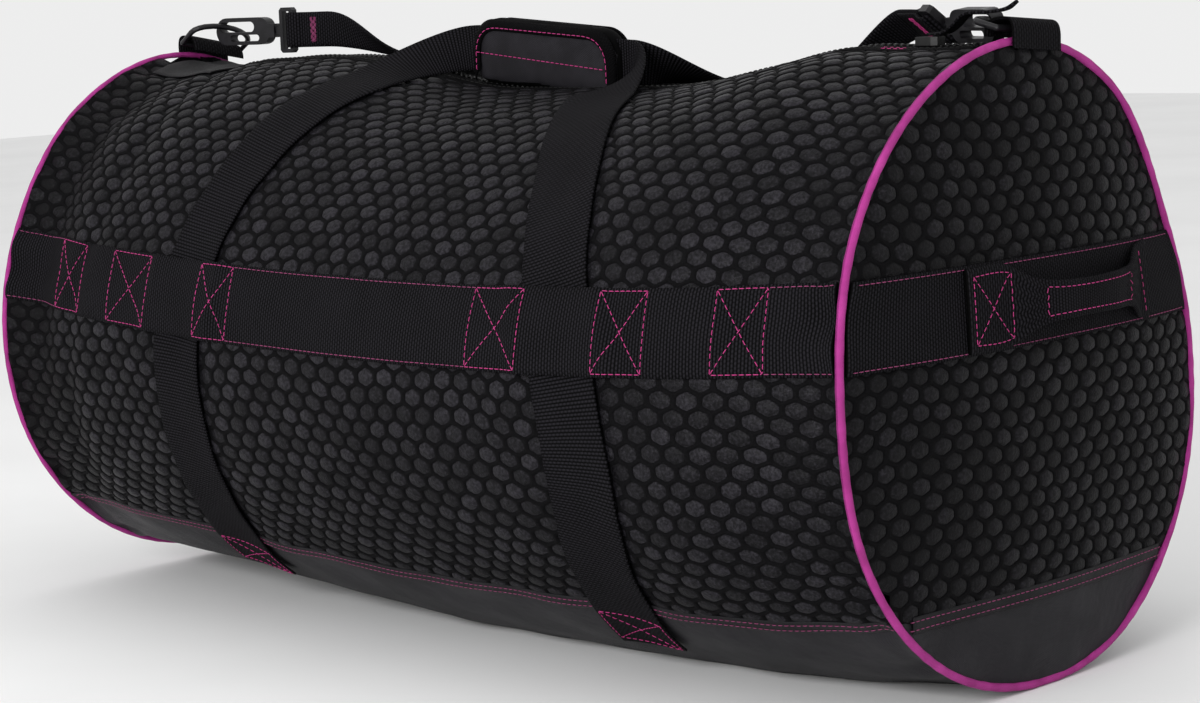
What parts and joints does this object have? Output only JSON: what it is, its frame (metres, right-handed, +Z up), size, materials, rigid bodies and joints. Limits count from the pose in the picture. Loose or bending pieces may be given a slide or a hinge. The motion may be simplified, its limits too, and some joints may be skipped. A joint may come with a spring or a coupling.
{
  "type": "mesh duffel bag",
  "caption": "Stuffed barrel duffel with net sides, a webbing band, a padded wrap on its carry handle, a shoulder strap on snap hooks, an end grab handle and a zip along the top.",
  "frame": {"origin": "the middle of the flat sole, on the floor halfway between the two piped rims", "axes": "+X along the bag towards the end with the grab handle, -Y out of its front side, +Z up"},
  "size_m": [0.8102, 0.4017, 0.4099],
  "materials": {
    "net": "black net over dark grey cloth",
    "coated_cloth": "coated charcoal cloth, slightly shiny",
    "webbing": "near-black webbing with a fine weave",
    "piping": "magenta covered cord",
    "padding": "charcoal cloth over soft foam",
    "plastic": "dark grey moulded plastic",
    "zip": "black zip tape and coil"
  },
  "bodies": {
    "root": {"front_mesh_panel": "net", "back_mesh_panel": "net", "bottom_panel": "coated_cloth", "near_end_mesh_panel": "net", "near_end_lower_panel": "coated_cloth", "near_piping": "piping", "near_end_band": "webbing", "near_tab": "webbing", "near_ring": "plastic", "near_snap_hook": "plastic", "near_strap_eye": "plastic", "far_end_mesh_panel": "net", "far_end_lower_panel": "coated_cloth", "far_piping": "piping", "far_end_band": "webbing", "far_tab": "webbing", "far_ring": "plastic", "far_snap_hook": "plastic", "far_strap_eye": "plastic", "front_band": "webbing", "back_band": "webbing", "near_end_handle": "webbing", "front_handle_strap": "webbing", "back_handle_strap": "webbing", "handle_wrap": "padding", "front_zip_tape": "zip", "back_zip_tape": "zip", "zip_coil": "zip", "far_zip_patch": "coated_cloth", "zip_slider": "plastic", "zip_pull": "webbing", "shoulder_strap": "webbing"}
  },
  "joints": []
}
